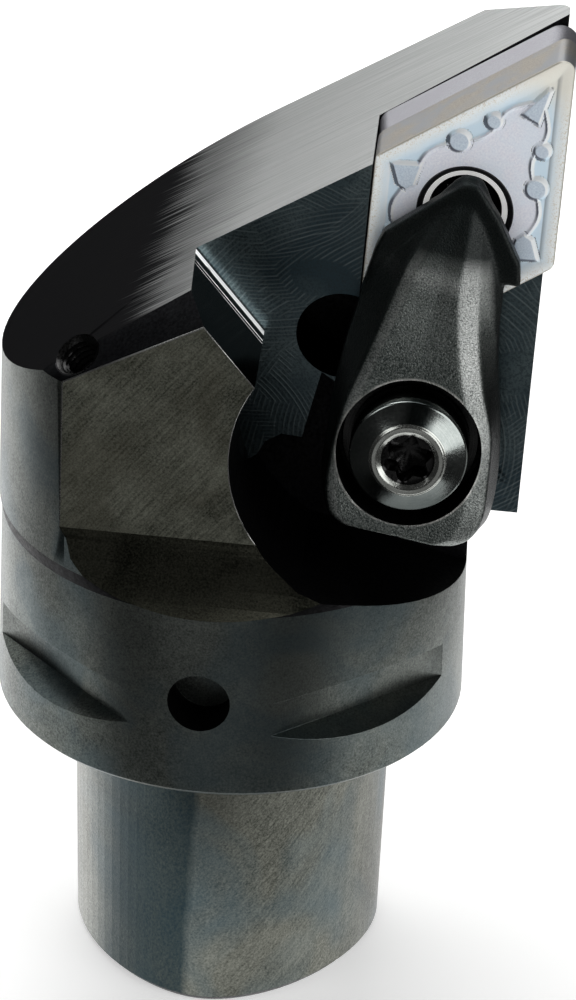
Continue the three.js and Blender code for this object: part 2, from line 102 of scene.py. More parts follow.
# ---------- material graphs ----------
class Graph:
    """A Principled material with a few shorthands; lengths in its textures are millimetres.

    Places and directions are those of the part's own frame, or of frame_of if it is given.
    """

    def __init__(self, name, metallic=1.0, frame_of=None):
        self.mat = bpy.data.materials.new(name)
        self.mat.use_nodes = True
        self.tree = self.mat.node_tree
        self.bsdf = self.tree.nodes["Principled BSDF"]
        self.bsdf.inputs["Metallic"].default_value = metallic
        coordinates = self.node("ShaderNodeTexCoord")
        self.place, self.facing = coordinates.outputs["Object"], coordinates.outputs["Normal"]
        if frame_of is not None:
            back = frame_of.inverted()
            self.place = self.turned(self.place, back, "POINT")
            self.facing = self.turned(self.facing, back, "VECTOR")

    def node(self, kind, **settings):
        made = self.tree.nodes.new(kind)
        for key, value in settings.items():
            setattr(made, key, value)
        return made

    def feed(self, socket, value):
        if isinstance(value, bpy.types.NodeSocket):
            self.tree.links.new(value, socket)
        else:
            socket.default_value = value

    def turned(self, vector, matrix, kind):
        """A place or a direction of the part's frame, given in another frame."""
        mapping = self.node("ShaderNodeMapping", vector_type=kind)
        mapping.inputs["Rotation"].default_value = matrix.to_euler()
        if kind == "POINT":
            mapping.inputs["Location"].default_value = matrix.translation
        self.feed(mapping.inputs["Vector"], vector)
        return mapping.outputs["Vector"]

    def coords(self, scale=(1, 1, 1), along=None):
        """Coordinates in millimetres times scale, after along has been turned onto X."""
        source = self.place
        if along is not None:
            turn = self.node("ShaderNodeMapping")
            onto_x = Vector(along).rotation_difference(Vector((1, 0, 0)))
            turn.inputs["Rotation"].default_value = onto_x.to_euler()
            self.feed(turn.inputs["Vector"], source)
            source = turn.outputs["Vector"]
        sized = self.node("ShaderNodeMapping")
        sized.inputs["Scale"].default_value = [s / MM for s in scale]
        self.feed(sized.inputs["Vector"], source)
        return sized.outputs["Vector"]

    def at(self, axis):
        """One coordinate of the surface, in millimetres."""
        apart = self.node("ShaderNodeSeparateXYZ")
        self.feed(apart.inputs[0], self.place)
        return self.math("DIVIDE", apart.outputs[axis], MM)

    def toward(self, axis):
        """How far the surface faces along an axis, from -1 to 1."""
        apart = self.node("ShaderNodeSeparateXYZ")
        self.feed(apart.inputs[0], self.facing)
        return apart.outputs[axis]

    def radius(self):
        """Distance from the frame's Z axis, in metres."""
        spread = self.node("ShaderNodeVectorMath", operation="MULTIPLY")
        self.feed(spread.inputs[0], self.place)
        spread.inputs[1].default_value = (1, 1, 0)
        length = self.node("ShaderNodeVectorMath", operation="LENGTH")
        self.feed(length.inputs[0], spread.outputs[0])
        return length.outputs["Value"]

    def vector(self, x, y=0.0):
        made = self.node("ShaderNodeCombineXYZ")
        self.feed(made.inputs["X"], x)
        self.feed(made.inputs["Y"], y)
        return made.outputs[0]

    def noise(self, vector, detail=3.0, rough=0.55, distortion=0.0):
        made = self.node("ShaderNodeTexNoise")
        made.inputs["Scale"].default_value = 1.0
        made.inputs["Detail"].default_value = detail
        made.inputs["Roughness"].default_value = rough
        made.inputs["Distortion"].default_value = distortion
        self.feed(made.inputs["Vector"], vector)
        return made.outputs["Fac"]

    def grain(self, scale, *settings):
        """Noise of the same scale every way, in cells per millimetre."""
        return self.noise(self.coords((scale,) * 3), *settings)

    def math(self, operation, a, b=0.0, c=0.0):
        made = self.node("ShaderNodeMath", operation=operation)
        for socket, value in zip(made.inputs, (a, b, c)):
            self.feed(socket, value)
        return made.outputs[0]

    def add(self, a, b):
        return self.math("ADD", a, b)

    def times(self, a, b):
        return self.math("MULTIPLY", a, b)

    def most(self, first, *others):
        """The largest of several values."""
        for other in others:
            first = self.math("MAXIMUM", first, other)
        return first

    def off(self, value, centre):
        """Distance of a value from a centre."""
        return self.math("ABSOLUTE", self.math("SUBTRACT", value, centre))

    def ragged(self, value, noise, amount):
        """A value pushed to and fro by noise, so that an edge drawn with it isn't straight."""
        return self.add(value, self.times(self.math("SUBTRACT", noise, 0.5), amount))

    def span(self, value, low, high, to_low=0.0, to_high=1.0):
        """Ramp from to_low at low to to_high at high, level outside; low may be above high."""
        made = self.node("ShaderNodeMapRange")
        names = ("Value", "From Min", "From Max", "To Min", "To Max")
        for key, number in zip(names, (value, low, high, to_low, to_high)):
            self.feed(made.inputs[key], number)
        return made.outputs["Result"]

    def mix(self, a, b, factor):
        """Colour a at factor 0, colour b at factor 1."""
        made = self.node("ShaderNodeMix", data_type="RGBA")
        self.feed(made.inputs["Factor"], factor)
        for key, value in (("A", a), ("B", b)):
            socket = [s for s in made.inputs if s.name == key and s.type == "RGBA"][0]
            self.feed(socket, value if isinstance(value, bpy.types.NodeSocket) else (*value, 1))
        return [s for s in made.outputs if s.type == "RGBA"][0]

    def bump(self, height, distance, strength=1.0, under=None):
        made = self.node("ShaderNodeBump")
        made.inputs["Strength"].default_value = strength
        made.inputs["Distance"].default_value = distance * MM
        self.feed(made.inputs["Height"], height)
        if under is not None:
            self.feed(made.inputs["Normal"], under)
        return made.outputs["Normal"]

    def glow(self, colour, strength):
        self.feed(self.bsdf.inputs["Emission Color"], colour)
        self.bsdf.inputs["Emission Strength"].default_value = strength

    def finish(self, colour, roughness, normal=None):
        self.feed(self.bsdf.inputs["Base Color"], colour)
        self.feed(self.bsdf.inputs["Roughness"], roughness)
        if normal is not None:
            self.feed(self.bsdf.inputs["Normal"], normal)
        return self.mat


# ---------- steels of the body ----------
def steel(name, dark, light, rough=(0.3, 0.5), grain=7.0, grain_bump=0.01, streaks=(), blotch=0.12,
          tint=None, tint_amount=0.5, tint_scale=0.16, shade_over=None):
    """Ground or milled steel: fine grain, straight tool marks, slow patches of darker oxide.

    Streaks are (direction, length, width, weight) of tool marks, in millimetres.
    shade_over(g, colour, streak) recolours the result by place and says how matt it is.
    """
    g = Graph(name)
    fine = g.grain(grain, 4, 0.65)
    patch = g.grain(blotch, 3, 0.6, 0.4)
    shade = g.add(g.times(patch, 0.4), g.times(fine, 0.6))
    normal = g.bump(fine, grain_bump)
    lines = fine
    for along, length, width, weight in streaks:
        lines = g.noise(g.coords((1 / length, 1 / width, 1 / width), along), 3, 0.6)
        shade = g.add(g.times(shade, 1 - weight), g.times(lines, weight))
        normal = g.bump(lines, 0.012 * weight, under=normal)
    colour = g.mix(dark, light, g.span(shade, 0.38, 0.62))
    if tint:
        where = g.span(g.grain(tint_scale, 2, 0.5, 0.6), 0.45, 0.62, 0, tint_amount)
        colour = g.mix(colour, tint, where)
    roughness = g.span(shade, 0.35, 0.65, rough[1], rough[0])
    if shade_over:
        colour, matt = shade_over(g, colour, lines)
        roughness = g.most(roughness, g.times(matt, 0.9))
    return g.finish(colour, roughness, normal)


def black_toward_left(g, colour, streak):
    """Bright ground face that turns black toward -X in long brush-like strokes, matt where it is black."""
    edge = g.ragged(g.at("X"), streak, 8.0)
    return g.mix((0.002, 0.002, 0.003), colour, g.span(edge, -6.2, 0.6)), g.span(edge, -3.0, -6.0)


def dark_reflection_band(g, colour, streak):
    """Dark blue band down the left half of the shank, painted shade in place of a dark reflection; plain
    grey-brown on the right.
    """
    edge = g.ragged(g.at("X"), g.noise(g.coords((0.12, 0.12, 0.06)), 2), 3.0)
    blue = g.mix((0.012, 0.028, 0.038), (0.035, 0.05, 0.05), g.span(streak, 0.3, 0.7))
    inner = g.times(g.span(edge, -9.2, -6.5), g.span(edge, -0.6, -1.2))
    return g.mix(colour, blue, g.times(inner, 0.85)), 0.0


UPWARD = Vector((0, 0, 1))
SLASH = Vector((0.62, 0, 0.78))         # direction of the hand grinding on the flat
SHANK_SLASH = Vector((0.5, 0.5, 0.7))   # direction of the marks on the shank
ALONG_TOP = Vector((0.84, 0, 0.55))     # lengthwise on the top surface
BLUE_OXIDE = (0.06, 0.10, 0.12)
BROWN_OXIDE = (0.15, 0.14, 0.10)

head_steel = steel("head_steel", (0.05, 0.058, 0.052), (0.23, 0.25, 0.23), rough=(0.28, 0.42),
                   grain_bump=0.012, streaks=[(UPWARD, 0.5, 0.5, 0.15)], blotch=0.1,
                   tint=BLUE_OXIDE, tint_amount=0.45)
flat_steel = steel("flat_steel", (0.055, 0.06, 0.045), (0.42, 0.43, 0.35), rough=(0.30, 0.46), grain=9,
                   grain_bump=0.02, streaks=[(SLASH, 3.0, 0.14, 0.25)], blotch=0.18,
                   tint=BROWN_OXIDE, tint_amount=0.35)
shank_steel = steel("shank_steel", (0.045, 0.048, 0.04), (0.21, 0.215, 0.185), rough=(0.26, 0.42),
                    grain_bump=0.012, streaks=[(SHANK_SLASH, 3.5, 0.16, 0.25)], blotch=0.09,
                    tint=BLUE_OXIDE, tint_amount=0.6, tint_scale=0.11, shade_over=dark_reflection_band)
top_steel = steel("top_steel", (0.32, 0.33, 0.325), (0.43, 0.44, 0.435), rough=(0.28, 0.38),
                  grain_bump=0.002, streaks=[(ALONG_TOP, 9.0, 0.16, 0.85)], blotch=0.08,
                  shade_over=black_toward_left)
# painted shade: a darker copy of the flat's steel for the slope below the flat
shelf_shade_steel = steel("shelf_shade_steel", (0.010, 0.011, 0.008), (0.075, 0.075, 0.058), rough=(0.4, 0.55),
                    grain_bump=0.02)
ledge_steel = steel("ledge_steel", (0.002, 0.002, 0.003), (0.009, 0.010, 0.011), rough=(0.65, 0.85), grain=5)
# painted shade: near-black steel in the bores and holes, the pocket's deep well and steep walls, the band
# under the head, the shank's end chamfer and the clamp's counterbore
shaded_recess_steel = steel("shaded_recess", (0.006, 0.006, 0.007), (0.028, 0.028, 0.03), rough=(0.35, 0.6), grain=4,
                   grain_bump=0.02)
# painted highlight: pale steel on the finely rounded edges round the flat
edge_highlight_steel = steel("edge_highlight", (0.28, 0.28, 0.27), (0.62, 0.62, 0.60), rough=(0.22, 0.34),
                    grain_bump=0.006)

WALL_HIGHLIGHTS = ((2.75, 0.45), (4.1, 0.09), (4.6, 0.04))  # depth and half width of each painted highlight strip


def highlit_wall():
    """Steep wall of the pocket, with painted highlights in long strips that run across its depth.

    The strips are painted white and glow a little, a painted reflection of the bright surroundings that they
    would mirror.
    """
    g = Graph("highlit_wall")
    depth = g.times(g.at("Y"), -1.0)
    highlight = 0.0
    for centre, half in WALL_HIGHLIGHTS:
        highlight = g.add(highlight, g.span(g.off(depth, centre), half, 0.7 * half))
    highlight = g.times(highlight, g.span(g.grain(0.35, 2), 0.32, 0.42, 0.3, 1.0))
    fine = g.grain(7, 4, 0.6)
    oxide = g.mix((0.004, 0.005, 0.005), (0.02, 0.022, 0.022), fine)
    g.feed(g.bsdf.inputs["Metallic"], g.span(highlight, 0, 1, 1.0, 0.0))
    g.glow(g.mix((0, 0, 0), (0.8, 0.82, 0.82), highlight), 0.6)
    return g.finish(g.mix(oxide, (0.95, 0.96, 0.96), highlight), g.span(fine, 0.3, 0.7, 0.14, 0.24),
                    g.bump(fine, 0.004))


# Stops of the milling cutter: x, z, spacing of its arcs, and the level of the slow noise at which they show.
CUTTER_STOPS = ((-3.5, 18.5, 0.30, 0.38), (10.5, 21.0, 0.33, 0.47), (0.5, 45.0, 0.28, 0.55),
                (21.5, 16.0, 0.32, 0.64))


def milled_floor():
    """End-milled floor: tool arcs round a few stops of the cutter, each in patches of its own."""
    g = Graph("milled_floor")
    fine = g.grain(6, 4, 0.6)
    normal, shade = g.bump(fine, 0.008), 0.0
    field = g.grain(0.17, 1, 0.4)
    for i, (x, z, spacing, level) in enumerate(CUTTER_STOPS):
        away = [g.math("SUBTRACT", g.at(axis), stop) for axis, stop in (("X", x), ("Z", z))]
        radius = g.math("SQRT", g.add(*[g.times(d, d) for d in away]))
        arc = g.math("DIVIDE", radius, spacing)
        ridges = g.span(g.math("PINGPONG", arc, 0.5), 0.22, 0.45)
        arcs = g.times(ridges, g.span(g.noise(g.vector(arc, 7.0 * i), 2), 0.40, 0.62, 0.2, 1.0))
        arcs = g.times(arcs, g.span(g.off(field, level), 0.06, 0.035))
        shade = g.add(shade, arcs)
        normal = g.bump(arcs, 0.008, under=normal)
    patch = g.span(g.grain(0.13, 2, 0.5, 0.5), 0.38, 0.62)
    base = g.mix((0.07, 0.11, 0.13), (0.19, 0.25, 0.26), patch)
    base = g.mix(base, (0.06, 0.08, 0.09), g.span(fine, 0.55, 0.4, 0, 0.7))
    colour = g.mix(base, (0.34, 0.41, 0.42), g.times(shade, 0.6))
    return g.finish(colour, g.span(fine, 0.3, 0.7, 0.28, 0.42), normal)


highlit_wall_steel = highlit_wall()
floor_steel = milled_floor()


# ---------- steels of the clamp, screw and spring ----------
def forged_steel():
    """Blackened forging: pitted skin, rubbed lighter in places; bare worn steel with a painted highlight
    round the counterbore's rim, painted highlights on the ridges and brow, painted shade on the steep sides,
    wings and beak.
    """
    g = Graph("forged_clamp", frame_of=CLAMP)
    pits, speck, slow = g.grain(8.5, 3, 0.6), g.grain(11, 3, 0.6), g.grain(0.25, 2, 0.5)
    wear_and_highlight = g.span(g.add(g.times(pits, 0.75), g.times(slow, 0.25)), 0.38, 0.62)
    colour = g.mix((0.055, 0.07, 0.065), (0.36, 0.39, 0.37), wear_and_highlight)
    # bare worn steel round the counterbore's rim, brightened further as a painted highlight
    rim_wear_and_highlight = g.times(g.span(g.radius(), 5.06 * MM, 4.96 * MM), g.span(g.grain(0.8, 2), 0.38, 0.6, 0.1, 1.0))
    colour = g.mix(colour, (0.8, 0.8, 0.76), rim_wear_and_highlight)
    side, up, along = g.toward("Y"), g.toward("Z"), g.at("X")
    # painted highlight: pale on the ridges on both sides of the roof and on the brow above the beak, broken
    # up by the pits
    ridge = g.times(g.span(g.off(side, -0.42), 0.34, 0.06), g.span(along, -1.0, 6.0, 0.3, 1.0))
    left_ridge = g.span(g.off(side, 0.2), 0.16, 0.03, 0, 0.4)
    brow = g.span(g.off(along, 11.7), 1.0, 0.2, 0, 0.5)
    highlit = g.times(g.most(ridge, left_ridge, brow), g.span(wear_and_highlight, 0.0, 0.9, 0.3, 1.0))
    colour = g.mix(colour, (0.76, 0.78, 0.76), highlit)
    # painted shade: black on the steep sides and undersides, on the wings and on the beak
    wings = g.times(g.span(g.at("Z"), 2.3, 1.8), g.span(along, 6.5, 8.5))
    beak = g.span(g.add(along, g.times(pits, 1.2)), 12.6, 14.2)
    steep_shade = g.most(g.span(side, 0.30, 0.46), g.span(up, 0.35, 0.1), g.span(side, -0.70, -0.86))
    colour = g.mix(colour, (0.014, 0.018, 0.018), g.times(g.most(steep_shade, wings, beak), 0.94))
    return g.finish(colour, g.span(speck, 0.3, 0.7, 0.26, 0.44),
                    g.bump(speck, 0.02, under=g.bump(pits, 0.045)))


def turned_steel(name, dark, light, rough, pitch=0.09, head_shade=False):
    """Lathe-turned steel: fine rings about the screw's axis; a shaded one has painted shade on its head
    round the socket.
    """
    g = Graph(name, frame_of=CLAMP)
    rings = g.noise(g.vector(g.math("DIVIDE", g.radius(), pitch * MM)), 2, 0.6)
    fine = g.grain(6, 4, 0.6)
    patch = g.grain(0.7, 2, 0.5)
    shade = g.add(g.times(rings, 0.4), g.math("MULTIPLY_ADD", fine, 0.3, g.times(patch, 0.3)))
    colour = g.mix(dark, light, g.span(shade, 0.35, 0.65))
    if head_shade:
        # painted shade on the head: away from the nose, and in a strip toward it
        along, across = g.at("X"), g.at("Y")
        back = g.most(g.span(along, 0.6, -2.6, 0, 0.72), g.span(across, 1.6, 3.6, 0, 0.5))
        front = g.times(g.span(g.math("ABSOLUTE", across), 1.3, 0.5), g.span(along, 0.5, 2.0))
        colour = g.mix(colour, (0.03, 0.04, 0.04), g.most(back, g.times(front, 0.9)))
    return g.finish(colour, g.span(fine, 0.3, 0.7, *rough),
                    g.bump(fine, 0.004, under=g.bump(rings, 0.003)))


forged_mat = forged_steel()
screw_steel = turned_steel("screw_steel", (0.24, 0.27, 0.26), (0.46, 0.49, 0.47), (0.13, 0.22), head_shade=True)
rim_steel = turned_steel("screw_rim", (0.42, 0.44, 0.41), (0.72, 0.74, 0.70), (0.18, 0.3))
# painted shade: near-black turned steel in the screw's socket, on the washer deep in the counterbore and in
# the outlet's thread
deep_shade_steel = turned_steel("deep_shade", (0.015, 0.015, 0.015), (0.07, 0.07, 0.07), (0.2, 0.35))
spring_steel = turned_steel("spring_steel", (0.30, 0.31, 0.32), (0.56, 0.57, 0.58), (0.22, 0.34))


# ---------- carbides ----------
def relief_light_and_shade(g, colour):
    """Raised figures with painted light and shade: pale on their sides toward the sharp corner, dark on
    their far sides.
    """
    slope = g.add(g.times(g.toward("X"), 0.93), g.times(g.toward("Y"), -0.37))
    colour = g.mix(colour, (0.98, 1.0, 1.0), g.span(slope, 0.06, 0.35, 0, 0.95))
    return g.mix(colour, (0.05, 0.06, 0.09), g.span(slope, -0.06, -0.35, 0, 0.9))


def carbide(name, low, high, stain, rough, metallic=0.55, stain_amount=0.4, sparkle=7, relief_light=False,
            glow=0.0):
    """Sintered carbide under a thin coating, with faint cloudy stains and a sandy grain."""
    g = Graph(name, metallic, SEAT)
    fine = g.grain(sparkle, 4, 0.65)
    cloud = g.span(g.grain(0.45, 3, 0.6, 0.3), 0.4, 0.62, 0, stain_amount)
    colour = g.mix(g.mix(low, high, g.span(fine, 0.35, 0.65)), stain, cloud)
    if relief_light:
        colour = relief_light_and_shade(g, colour)
    if glow:
        g.glow((1, 1, 0.98, 1), glow)
    return g.finish(colour, g.span(fine, 0.3, 0.7, *rough), g.bump(fine, 0.010))


def coated_face():
    """Rake face: pale blue land with sandy specks at the rim, golden white at the sharp corners."""
    g = Graph("coat_face", 0.05, SEAT)
    along, across = [g.math("ABSOLUTE", g.at(axis)) for axis in ("X", "Y")]
    reach = g.add(g.times(along, math.sin(HALF_CORNER)), g.times(across, math.cos(HALF_CORNER)))
    inset = g.math("SUBTRACT", INRADIUS, reach)
    fine = g.grain(9, 4, 0.65)
    cloud = g.grain(0.5, 3, 0.6, 0.3)
    ragged = g.ragged(inset, cloud, 0.7)
    colour = g.mix((0.96, 1.0, 1.0), (0.70, 0.86, 0.98), g.span(ragged, 0.35, 1.25))
    specks = g.times(g.span(fine, 0.52, 0.62), g.span(ragged, 0.9, 0.1, 0, 0.8))
    colour = g.mix(colour, (0.66, 0.58, 0.44), specks)
    tip = g.span(g.add(along, g.times(cloud, 2.0)), 9.6, 12.2, 0, 0.9)
    colour = g.mix(colour, (0.93, 0.90, 0.80), tip)
    # painted light and shade on the raised figures inside the rim
    colour = g.mix(colour, relief_light_and_shade(g, colour), g.span(inset, 0.75, 1.05))
    colour = g.mix((0.40, 0.37, 0.31), colour, g.span(inset, 0.02, 0.12))
    return g.finish(colour, g.span(fine, 0.3, 0.7, 0.26, 0.4), g.bump(fine, 0.012))


coat_groove = coated_face()
coat_plateau = carbide("coat_plateau", (0.78, 0.80, 0.90), (0.93, 0.94, 1.0), (0.78, 0.90, 1.0), (0.3, 0.42),
                       metallic=0.05, relief_light=True)
coat_bump = carbide("coat_bump", (0.52, 0.62, 0.74), (0.74, 0.84, 0.92), (0.60, 0.66, 0.76), (0.3, 0.42),
                    metallic=0.1, relief_light=True)
coat_flank = carbide("coat_flank", (0.25, 0.225, 0.19), (0.42, 0.385, 0.33), (0.28, 0.30, 0.33),
                     (0.34, 0.46), metallic=0.6, stain_amount=0.8, sparkle=9)
# painted light: the white ring down the hole glows a little
hole_ring = carbide("hole_ring", (0.93, 0.94, 0.92), (0.98, 0.98, 0.97), (0.9, 0.9, 0.88), (0.25, 0.35),
                    metallic=0.0, glow=0.3)
# painted shade: the inside of the hole, near black
hole_shade = carbide("hole_shade", (0.015, 0.015, 0.017), (0.04, 0.04, 0.045), (0.02, 0.02, 0.02), (0.4, 0.6),
                    metallic=0.6)
shim_coat = carbide("shim_face", (0.27, 0.27, 0.295), (0.36, 0.36, 0.39), (0.30, 0.29, 0.32), (0.3, 0.44),
                    metallic=0.7)


# ---------- mesh helpers ----------
def make_object(name, mesh, body, matrix=None, replaces=()):
    """A piece on a body; its mesh is turned by matrix itself, so the object stays upright."""
    if matrix is not None:
        mesh.transform(matrix)
    piece = bpy.data.objects.new(name, mesh)
    scene.collection.objects.link(piece)
    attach(piece, body)
    if replaces:
        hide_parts(*replaces)
    return piece


def smooth_by_angle(bm, degrees=32):
    limit = math.radians(degrees)
    for face in bm.faces:
        face.smooth = True
    for edge in bm.edges:
        edge.smooth = edge.is_manifold and edge.calc_face_angle(0) < limit


def refined(node, name, body, materials, region=None, width=0.12, round_walls=(), wear_and_highlight=None):
    """A copy of a CAD node with flat faces joined up, shaded smooth, its long clean edges broken.

    region(centre, normal) is the material of a face. wear_and_highlight is (pairs, material): edges between
    those pairs of materials get that material, a painted highlight. round_walls are radii about the tool
    axis.
    """
    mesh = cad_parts[node].data.copy()
    mesh.name = name
    mesh.materials.clear()
    for material in materials:
        mesh.materials.append(material)
    bm = bmesh.new()
    bm.from_mesh(mesh)
    bmesh.ops.remove_doubles(bm, verts=bm.verts, dist=0.001 * MM)
    bmesh.ops.dissolve_limit(bm, angle_limit=math.radians(0.6), verts=bm.verts, edges=bm.edges)
    bm.normal_update()
    for face in bm.faces:
        face.material_index = region(face.calc_center_median() / MM, face.normal) if region else 0
    smooth_by_angle(bm)
    if width:
        break_edges(bm, width, wear_and_highlight)
    bm.to_mesh(mesh)
    bm.free()
    make_object(name, mesh, body, None, (node,))
    if width:
        shade_true(mesh, round_walls)


def break_edges(bm, width, wear_and_highlight, highlight_width=0.07, shortest_highlight=0.3):
    """Round the edges that carry the painted highlight, and by width the other sharp edges that have room at
    both ends.
    """
    room = 2.0 * width * MM
    clean = {v for v in bm.verts if min((e.calc_length() for e in v.link_edges), default=0) > room}
    sharp = [e for e in bm.edges if e.is_manifold and not e.smooth]
    highlit = [e for e in sharp if wear_and_highlight and e.calc_length() > shortest_highlight * MM
              and {f.material_index for f in e.link_faces} in wear_and_highlight[0]]
    marked = set(highlit)
    broken = [e for e in sharp if e not in marked and set(e.verts) <= clean
              and not any(x in marked for v in e.verts for x in v.link_edges)]
    for edges, offset, material in ((highlit, highlight_width, wear_and_highlight[1] if wear_and_highlight else -1), (broken, width, -1)):
        edges = [e for e in edges if e.is_valid]
        bmesh.ops.bevel(bm, geom=edges, offset=offset * MM, segments=2, profile=0.5, affect="EDGES",
                        clamp_overlap=True, material=material)
    smooth_by_angle(bm, 50)


def shade_true(mesh, round_walls, large=1.2, near=0.02, bend=0.35):
    """Give large flat faces their own normal and faces on a wall of given radius the wall's.

    A face is large from the area of a square of that side; near is how close to the radius it is.
    """
    normals = [Vector(n.vector) for n in mesh.corner_normals]
    for face in mesh.polygons:
        own = face.normal
        spread = [(mesh.vertices[v].co / MM) for v in face.vertices]
        radii = [math.hypot(p.x, p.y) for p in spread]
        on_wall = abs(own.z) < 0.03 and any(abs(min(radii) - r) < near and abs(max(radii) - r) < near
                                            for r in round_walls)
        if on_wall:
            for loop, p in zip(face.loop_indices, spread):
                normals[loop] = Vector((p.x, p.y, 0)).normalized()
        elif face.area > (large * MM) ** 2:
            for loop in face.loop_indices:
                if normals[loop].angle(own, 0) < bend:
                    normals[loop] = own.copy()
    mesh.normals_split_custom_set(normals)


def ring_mesh(name, rings, materials, band_material=None, closed=True, sharp=35):
    """Skin over equal rings of points in millimetres.

    band_material(i) is the slot between rings i and i + 1; closed caps both ends.
    """
    count = len(rings[0])
    points = np.concatenate([np.asarray(r, float) for r in rings]) * MM
    faces, slots = [], []
    for r in range(len(rings) - 1):
        index = band_material(r) if band_material else 0
        for i in range(count):
            j = (i + 1) % count
            faces.append((r * count + i, r * count + j, (r + 1) * count + j, (r + 1) * count + i))
            slots.append(index)
    if closed:
        last = (len(rings) - 1) * count
        faces.append(tuple(range(count - 1, -1, -1)))
        faces.append(tuple(range(last, last + count)))
        slots += [slots[0], slots[-1]]
    mesh = bpy.data.meshes.new(name)
    mesh.from_pydata(points.tolist(), [], faces)
    for material in materials:
        mesh.materials.append(material)
    mesh.polygons.foreach_set("material_index", slots)
    bm = bmesh.new()
    bm.from_mesh(mesh)
    bmesh.ops.recalc_face_normals(bm, faces=bm.faces)
    smooth_by_angle(bm, sharp)
    bm.to_mesh(mesh)
    bm.free()
    return mesh


def circle(radius, level, count=144):
    a = np.arange(count) * 2 * math.pi / count
    return np.stack([radius * np.cos(a), radius * np.sin(a), np.full(count, level)], 1)


def lobes(size, level, count=144, mean=1.44, wave=0.235):
    """Six-lobe outline of the socket."""
    a = np.arange(count) * 2 * math.pi / count
    r = size * (mean + wave * np.cos(6 * a))
    return np.stack([r * np.cos(a), r * np.sin(a), np.full(count, level)], 1)


def thread_rings(radius, depth, pitch, low, high, count=72, step=0.09):
    """Rings of a helical V thread; depth is cut inward from radius."""
    a = np.arange(count) / count
    cosine, sine = np.cos(2 * math.pi * a), np.sin(2 * math.pi * a)
    rings = []
    for level in np.arange(low, high, step):
        phase = (level / pitch - a) % 1.0
        r = radius - depth * np.clip(np.abs(phase - 0.5) * 2.4 - 0.1, 0, 1)
        rings.append(np.stack([r * cosine, r * sine, np.full(count, level)], 1))
    return rings


# ---------- tool body ----------
BODY_MATERIALS = [head_steel, shank_steel, top_steel, ledge_steel, flat_steel, floor_steel, highlit_wall_steel,
                  shaded_recess_steel, shelf_shade_steel, edge_highlight_steel]
HEAD, SHANK, TOP, LEDGE, FLAT, FLOOR, WALL, SHADED, SHELF, EDGE = range(10)
FLANGE_RADIUS, HEAD_RADIUS = 16.0, 16.2
FLAT_Y, FLOOR_Y = -12.5, -2.2           # the big flat on the rake side, and the pocket's floor
BORE_RADIUS, BORE_TOP = 8.2, 6.0        # just outside the coupling bore
END_CHAMFER_TOP = -19
CODE_HOLE_Z, CODE_HOLE_RADIUS, CODE_HOLE_Y = 7.2, 2.25, (-15.2, -11)
PLUG_HOLE_RADIUS, PLUG_HOLE_DEPTH = 1.8, 9
BAND_Z, BAND_RADIUS = (13.9, 15.1), (15.9, 16.3)  # sloping band between flange and head
SHELF_Z = (12.8, 18)                    # slope below the flat
POCKET_BOTTOM, SEAT_DEPTH = 14.5, 3     # lowest level of the pocket; depth below the insert's face
SIDE_WALL_X, SIDE_WALL_Z = 8, 28        # the steep polished wall is left of one and above the other
CORNER_Z = 36                           # above this, walls square to the seat show the head's top steel


def body_region(centre, normal):
    """Material of a face of the body, by its place in millimetres and its direction."""
    x, y, z = centre
    radius = math.hypot(x, y)
    if radius < BORE_RADIUS and z < BORE_TOP:
        return SHADED
    if z < -0.01:
        end_chamfer = z < END_CHAMFER_TOP and -0.95 < normal.z < -0.2
        return SHADED if end_chamfer else SHANK
    in_code_hole = (math.hypot(x, z - CODE_HOLE_Z) < CODE_HOLE_RADIUS
                    and CODE_HOLE_Y[0] < y < CODE_HOLE_Y[1])
    if in_code_hole and abs(normal.y) < 0.5:
        return SHADED
    if normal.dot(TOP_NORMAL) > 0.999:
        return TOP
    if normal.dot(LEDGE_NORMAL) > 0.999:
        return LEDGE
    from_plug = Vector(centre) - PLUG_POINT
    if from_plug.length < PLUG_HOLE_DEPTH and from_plug.cross(LEDGE_NORMAL).length < PLUG_HOLE_RADIUS:
        return SHADED
    on_band = BAND_Z[0] < z < BAND_Z[1] and BAND_RADIUS[0] < radius < BAND_RADIUS[1]
    if on_band and abs(normal.z) > 0.05:
        return SHADED
    if abs(y - FLAT_Y) < 0.1 and normal.y < -0.99:
        return FLAT
    if SHELF_Z[0] < z < SHELF_Z[1] and y < -12.4 and normal.z > 0.1:
        return SHELF
    if abs(y - FLOOR_Y) < 0.1 and normal.y < -0.99:
        return FLOOR
    if normal.dot(RAKE) > 0.998 and z > POCKET_BOTTOM:
        depth = (INSERT_CENTRE - Vector(centre)).dot(RAKE)
        return FLOOR if depth < SEAT_DEPTH else SHADED
    if radius > BAND_RADIUS[0] and abs(normal.z) < 0.02:
        return HEAD
    in_pocket = z > 12 and -12.6 < y < 12 and radius < 24
    if in_pocket and abs(normal.dot(RAKE)) < 0.03:
        return WALL if z > SIDE_WALL_Z and x < SIDE_WALL_X else TOP if z > CORNER_Z else SHADED
    return HEAD


HIGHLIT_PAIRS = [{FLAT, other} for other in (HEAD, LEDGE, WALL, SHADED, FLOOR)]
refined("tool_body", "body_skin", "holder", BODY_MATERIALS, body_region, 0.11,
        round_walls=(FLANGE_RADIUS, HEAD_RADIUS), wear_and_highlight=(HIGHLIT_PAIRS, EDGE))


